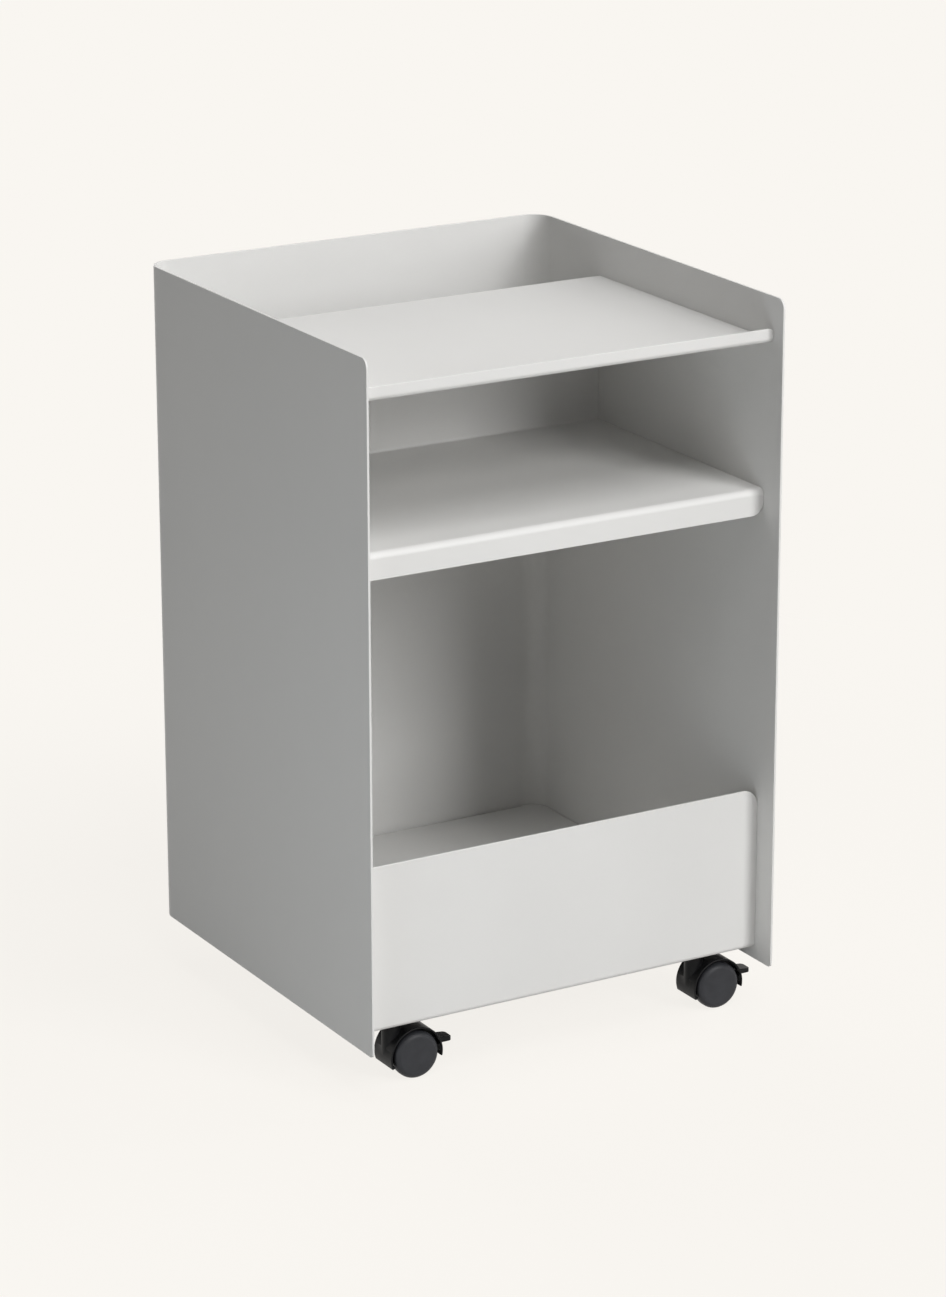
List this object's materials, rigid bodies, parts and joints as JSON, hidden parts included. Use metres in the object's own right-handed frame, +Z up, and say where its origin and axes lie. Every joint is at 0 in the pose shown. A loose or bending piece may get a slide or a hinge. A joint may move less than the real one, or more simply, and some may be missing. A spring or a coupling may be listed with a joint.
{
  "type": "mobile storage trolley",
  "caption": "Open-fronted storage trolley in folded sheet steel: lipped top tray, upper shelf bay, deep lower bin and rear slot, on swivel castors with front brakes.",
  "frame": {"origin": "on the floor, under the middle of the cabinet", "axes": "+Z up, +X to the right and +Y to the back; the open front faces -Y"},
  "size_m": [0.388, 0.376, 0.6135],
  "materials": {
    "powder_coat": "fine matt powder coat",
    "castor_plastic": "moulded, satin",
    "wheel_plastic": "moulded, satin",
    "zinc_steel": "zinc plated"
  },
  "bodies": {
    "cabinet": {"shell": "powder_coat", "shelf_insert": "powder_coat", "base_pan": "powder_coat", "floor_tray": "powder_coat", "shelf_welds": "powder_coat", "base_welds": "powder_coat", "castor_stems": "zinc_steel", "castor_nuts": "zinc_steel"},
    "front_left_swivel": {"front_left_hood": "castor_plastic", "front_left_axle": "zinc_steel", "front_left_pedal_pin": "zinc_steel"},
    "front_left_near_wheel": {"front_left_wheel_near": "wheel_plastic"},
    "front_left_far_wheel": {"front_left_wheel_far": "wheel_plastic"},
    "front_left_brake": {"front_left_pedal": "castor_plastic"},
    "front_right_swivel": {"front_right_hood": "castor_plastic", "front_right_axle": "zinc_steel", "front_right_pedal_pin": "zinc_steel"},
    "front_right_near_wheel": {"front_right_wheel_near": "wheel_plastic"},
    "front_right_far_wheel": {"front_right_wheel_far": "wheel_plastic"},
    "front_right_brake": {"front_right_pedal": "castor_plastic"},
    "rear_left_swivel": {"rear_left_hood": "castor_plastic", "rear_left_axle": "zinc_steel"},
    "rear_left_near_wheel": {"rear_left_wheel_near": "wheel_plastic"},
    "rear_left_far_wheel": {"rear_left_wheel_far": "wheel_plastic"},
    "rear_right_swivel": {"rear_right_hood": "castor_plastic", "rear_right_axle": "zinc_steel"},
    "rear_right_near_wheel": {"rear_right_wheel_near": "wheel_plastic"},
    "rear_right_far_wheel": {"rear_right_wheel_far": "wheel_plastic"}
  },
  "joints": [
    {"name": "front_left_turn", "type": "hinge", "parent": "cabinet", "child": "front_left_swivel", "pos_m": [-0.145, -0.1375, 0.047], "axis": [0, 0, 1], "continuous": true},
    {"name": "front_left_near_roll", "type": "hinge", "parent": "front_left_swivel", "child": "front_left_near_wheel", "pos_m": [-0.129, -0.1375, 0.02], "axis": [0, 1, 0], "continuous": true},
    {"name": "front_left_far_roll", "type": "hinge", "parent": "front_left_swivel", "child": "front_left_far_wheel", "pos_m": [-0.129, -0.1375, 0.02], "axis": [0, 1, 0], "continuous": true},
    {"name": "front_left_pedal_tip", "type": "hinge", "parent": "front_left_swivel", "child": "front_left_brake", "pos_m": [-0.112, -0.1375, 0.0245], "axis": [0, 1, 0], "range_deg": [0, 10]},
    {"name": "front_right_turn", "type": "hinge", "parent": "cabinet", "child": "front_right_swivel", "pos_m": [0.145, -0.1375, 0.047], "axis": [0, 0, 1], "continuous": true},
    {"name": "front_right_near_roll", "type": "hinge", "parent": "front_right_swivel", "child": "front_right_near_wheel", "pos_m": [0.161, -0.1375, 0.02], "axis": [0, 1, 0], "continuous": true},
    {"name": "front_right_far_roll", "type": "hinge", "parent": "front_right_swivel", "child": "front_right_far_wheel", "pos_m": [0.161, -0.1375, 0.02], "axis": [0, 1, 0], "continuous": true},
    {"name": "front_right_pedal_tip", "type": "hinge", "parent": "front_right_swivel", "child": "front_right_brake", "pos_m": [0.178, -0.1375, 0.0245], "axis": [0, 1, 0], "range_deg": [0, 10]},
    {"name": "rear_left_turn", "type": "hinge", "parent": "cabinet", "child": "rear_left_swivel", "pos_m": [-0.145, 0.1375, 0.047], "axis": [0, 0, 1], "continuous": true},
    {"name": "rear_left_near_roll", "type": "hinge", "parent": "rear_left_swivel", "child": "rear_left_near_wheel", "pos_m": [-0.129, 0.1375, 0.02], "axis": [0, 1, 0], "continuous": true},
    {"name": "rear_left_far_roll", "type": "hinge", "parent": "rear_left_swivel", "child": "rear_left_far_wheel", "pos_m": [-0.129, 0.1375, 0.02], "axis": [0, 1, 0], "continuous": true},
    {"name": "rear_right_turn", "type": "hinge", "parent": "cabinet", "child": "rear_right_swivel", "pos_m": [0.145, 0.1375, 0.047], "axis": [0, 0, 1], "continuous": true},
    {"name": "rear_right_near_roll", "type": "hinge", "parent": "rear_right_swivel", "child": "rear_right_near_wheel", "pos_m": [0.161, 0.1375, 0.02], "axis": [0, 1, 0], "continuous": true},
    {"name": "rear_right_far_roll", "type": "hinge", "parent": "rear_right_swivel", "child": "rear_right_far_wheel", "pos_m": [0.161, 0.1375, 0.02], "axis": [0, 1, 0], "continuous": true}
  ]
}
